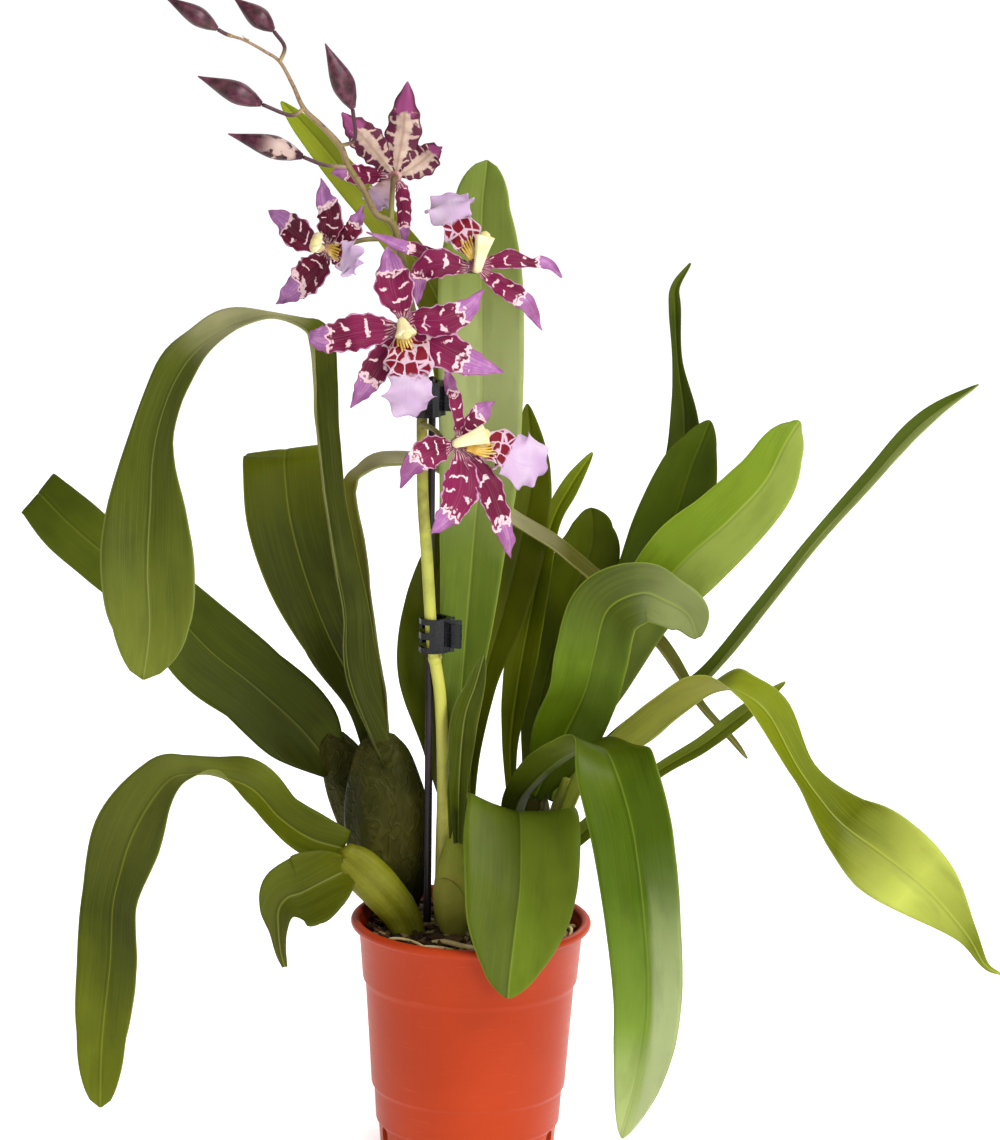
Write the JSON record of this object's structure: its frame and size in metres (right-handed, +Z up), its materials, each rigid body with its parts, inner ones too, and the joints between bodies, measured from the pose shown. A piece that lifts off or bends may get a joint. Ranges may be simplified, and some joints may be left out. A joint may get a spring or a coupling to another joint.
{
  "type": "potted orchid",
  "caption": "Odontoglossum orchid in a plastic nursery pot: long arching leaves from flattened bulbs and one staked spike of maroon blooms with pale lips and closed buds.",
  "frame": {"origin": "centre of the pot's base, on the surface that it stands on", "axes": "+Z up, -Y towards the viewer of the front, +X to the right in that view"},
  "size_m": [0.4853, 0.1735, 0.5734],
  "materials": {
    "pot": "glossy",
    "mix": "rough bark",
    "root": "dry",
    "bulb_old": "waxy plant skin",
    "bulb_young": "waxy plant skin",
    "leaf_mid": "waxy plant skin",
    "leaf_brown": "waxy plant skin",
    "leaf_dark": "waxy plant skin",
    "leaf_bright": "waxy plant skin",
    "leaf_yellow": "waxy plant skin",
    "spike": "waxy plant skin",
    "bud": "waxy bud",
    "tepal": "soft petal",
    "lip": "soft petal",
    "column": "waxy petal",
    "stake": "glossy",
    "clip": "glossy"
  },
  "bodies": {
    "plant": {"pot": "pot", "potting_mix": "mix", "root": "root", "bulb_old_front": "bulb_old", "bulb_old_back": "bulb_old", "bulb_middle": "bulb_young", "bulb_front": "bulb_young", "bulb_right": "bulb_young", "bulb_back_left": "bulb_old", "bulb_back_right": "bulb_old", "shoot": "bulb_young", "leaf_arch_left": "leaf_mid", "leaf_folded_left": "leaf_mid", "leaf_passing_behind": "leaf_brown", "leaf_far_left": "leaf_dark", "leaf_arch_low_left": "leaf_mid", "leaf_short_left": "leaf_bright", "leaf_dark_behind_stake": "leaf_dark", "leaf_tall_middle": "leaf_bright", "leaf_short_middle": "leaf_bright", "leaf_tall_back": "leaf_bright", "leaf_dark_middle": "leaf_dark", "leaf_narrow_middle": "leaf_mid", "leaf_rounded_middle": "leaf_dark", "leaf_hooked_right": "leaf_dark", "leaf_broad_back_right": "leaf_dark", "leaf_broad_right": "leaf_bright", "leaf_long_right": "leaf_dark", "leaf_arched_front_right": "leaf_bright", "leaf_twisted_right": "leaf_yellow", "leaf_narrow_right": "leaf_dark", "leaf_drooping_front": "leaf_bright", "leaf_over_rim": "leaf_mid", "flower_spike": "spike", "bud_end": "bud", "bud_upper": "bud", "bud_left": "bud", "bud_lower": "bud", "bud_upright": "bud", "bloom_back_view_tepals": "tepal", "bloom_back_view_lip": "lip", "bloom_back_view_column": "column", "bloom_left_tepals": "tepal", "bloom_left_lip": "lip", "bloom_left_column": "column", "bloom_lip_up_tepals": "tepal", "bloom_lip_up_lip": "lip", "bloom_lip_up_column": "column", "bloom_front_tepals": "tepal", "bloom_front_lip": "lip", "bloom_front_column": "column", "bloom_right_tepals": "tepal", "bloom_right_lip": "lip", "bloom_right_column": "column", "stake": "stake", "clip_lower_rear_jaw": "clip", "clip_upper_rear_jaw": "clip"},
    "lower_clip_jaw": {"clip_lower_front_jaw": "clip"},
    "upper_clip_jaw": {"clip_upper_front_jaw": "clip"}
  },
  "joints": [
    {"name": "lower_clip_hinge", "type": "hinge", "parent": "plant", "child": "lower_clip_jaw", "pos_m": [-0.0127, -0.001, 0.261], "axis": [0, 0, 1], "range_deg": [0, 35], "stiffness_Nm_per_rad": 0.006, "springref_deg": -28.65},
    {"name": "upper_clip_hinge", "type": "hinge", "parent": "plant", "child": "upper_clip_jaw", "pos_m": [-0.019, 0.0019, 0.378], "axis": [0, 0, 1], "range_deg": [0, 35], "stiffness_Nm_per_rad": 0.006, "springref_deg": -28.65}
  ]
}
